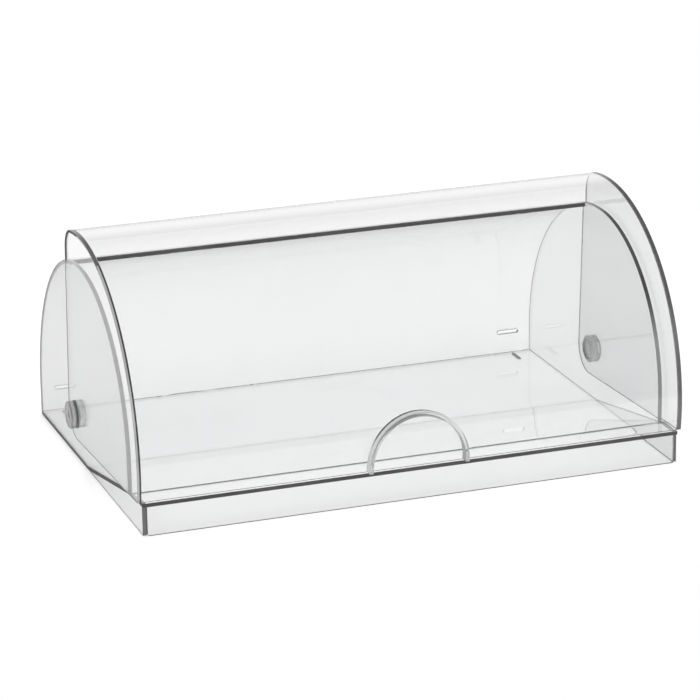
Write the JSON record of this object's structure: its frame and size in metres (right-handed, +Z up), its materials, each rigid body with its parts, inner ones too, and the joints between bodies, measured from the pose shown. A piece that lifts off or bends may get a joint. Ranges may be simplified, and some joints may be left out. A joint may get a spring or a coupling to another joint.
{
  "type": "countertop bread display bin",
  "caption": "Clear countertop bread display bin with a curved roll-back lid that turns on two side pivots and has a half-moon grip.",
  "frame": {"origin": "middle of the footprint, on the counter", "axes": "+Z up, the lid's grip and the apron face -Y, +X along the width"},
  "size_m": [0.4702, 0.317, 0.201],
  "materials": {
    "clear_body": "polished clear acrylic sheet, cut edges darker",
    "clear_lid": "polished clear acrylic sheet, cut edges darker",
    "clear_grip": "polished clear acrylic strip",
    "clear_plug": "turned clear acrylic, slightly frosted on its rim"
  },
  "bodies": {
    "bin": {"base_sheet": "clear_body", "end_panel_left": "clear_body", "end_panel_right": "clear_body", "back_shell": "clear_body", "apron_front": "clear_body", "apron_side_left": "clear_body", "apron_side_right": "clear_body"},
    "lid": {"lid_front": "clear_lid", "lid_end_left": "clear_lid", "lid_end_right": "clear_lid", "grip": "clear_grip", "pivot_plug_left": "clear_plug", "pivot_plug_right": "clear_plug"}
  },
  "joints": [
    {"name": "lid_hinge", "type": "hinge", "parent": "bin", "child": "lid", "pos_m": [0, 0.0285, 0.0425], "axis": [-1, 0, 0], "range_deg": [0, 100]}
  ]
}
